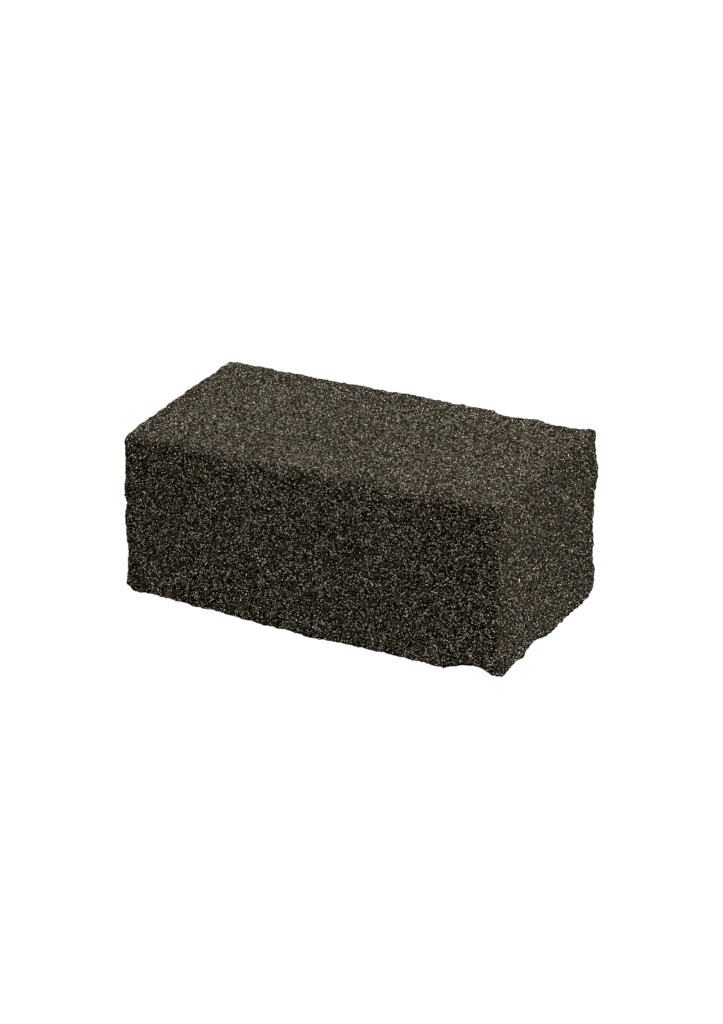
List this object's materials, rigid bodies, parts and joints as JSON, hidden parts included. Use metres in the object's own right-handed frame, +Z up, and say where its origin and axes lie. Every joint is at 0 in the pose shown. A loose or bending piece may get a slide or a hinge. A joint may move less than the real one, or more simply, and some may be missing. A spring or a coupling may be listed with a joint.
{
  "type": "floral foam brick",
  "caption": "Rectangular block of dark, rigid, open-celled foam with saw-cut faces and crumbled edges, laid flat in a bowl or tray to hold cut stems.",
  "frame": {"origin": "middle of the foot, at the bottom centre of the bounding box, on the surface the block stands on", "axes": "+X along the length towards the taller end, +Y to the back, +Z up"},
  "size_m": [0.2, 0.102, 0.088],
  "materials": {
    "foam": "matte"
  },
  "bodies": {
    "root": {"foam_block": "foam"}
  },
  "joints": []
}
